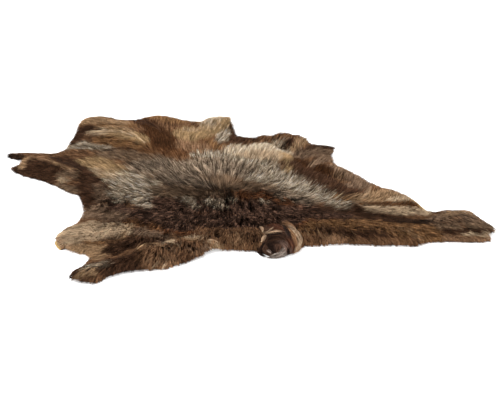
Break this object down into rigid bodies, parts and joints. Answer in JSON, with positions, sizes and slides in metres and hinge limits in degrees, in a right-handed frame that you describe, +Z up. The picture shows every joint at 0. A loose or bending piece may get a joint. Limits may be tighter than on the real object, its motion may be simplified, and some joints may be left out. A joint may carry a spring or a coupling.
{
  "type": "reindeer hide",
  "caption": "Tanned reindeer hide with its winter hair on, laid flat with the hair up, with leg flaps, rounded flank flaps, a straight-cut neck and a short tail.",
  "frame": {"origin": "middle of the hide's bounding box, on the floor that the skin lies on", "axes": "+X from the left foreleg towards the right hind leg, +Y towards the cut neck, +Z up out of the hair"},
  "size_m": [1.45, 1.0922, 0.0574],
  "materials": {
    "hair": "long matt winter hair, dark brown with silver-grey guard hairs"
  },
  "bodies": {
    "root": {"hide": "hair"}
  },
  "joints": []
}
